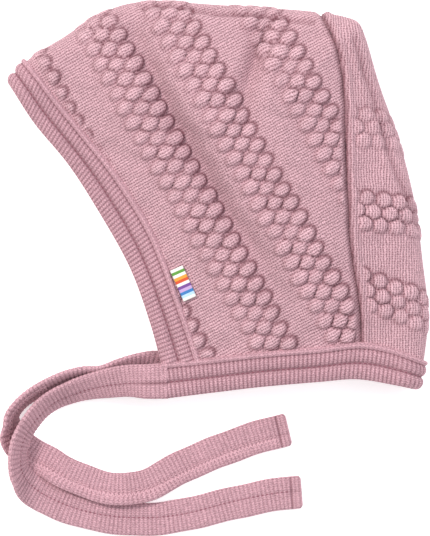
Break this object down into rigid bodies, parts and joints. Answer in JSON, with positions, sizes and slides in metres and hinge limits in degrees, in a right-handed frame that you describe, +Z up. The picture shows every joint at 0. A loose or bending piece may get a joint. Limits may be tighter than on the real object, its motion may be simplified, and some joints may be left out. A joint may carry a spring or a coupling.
{
  "type": "baby bonnet",
  "caption": "Soft knitted baby bonnet lying on its side: hollow side-and-crown panel with bubble bands, back panel, ribbed face and neck bindings, flat ties and a small striped tab.",
  "frame": {"origin": "on the floor under the middle of the bonnet's box, the ties left out", "axes": "+Z up from the floor, through the two layers; +X from the face opening to the back of the head; +Y from the neck edge to the crown"},
  "size_m": [0.1851, 0.2289, 0.035],
  "materials": {
    "bubble_knit": "matt dusty-rose wool knit with bands of bubble stitch",
    "rib_knit": "matt dusty-rose wool in a fine rib",
    "tab_ribbon": "woven ribbon with crosswise coloured stripes, slightly glossy"
  },
  "bodies": {
    "root": {"main_panel": "bubble_knit", "back_panel": "bubble_knit", "face_band": "rib_knit", "neck_band": "rib_knit", "tie_near": "rib_knit", "tie_far": "rib_knit", "label_tab": "tab_ribbon"}
  },
  "joints": []
}
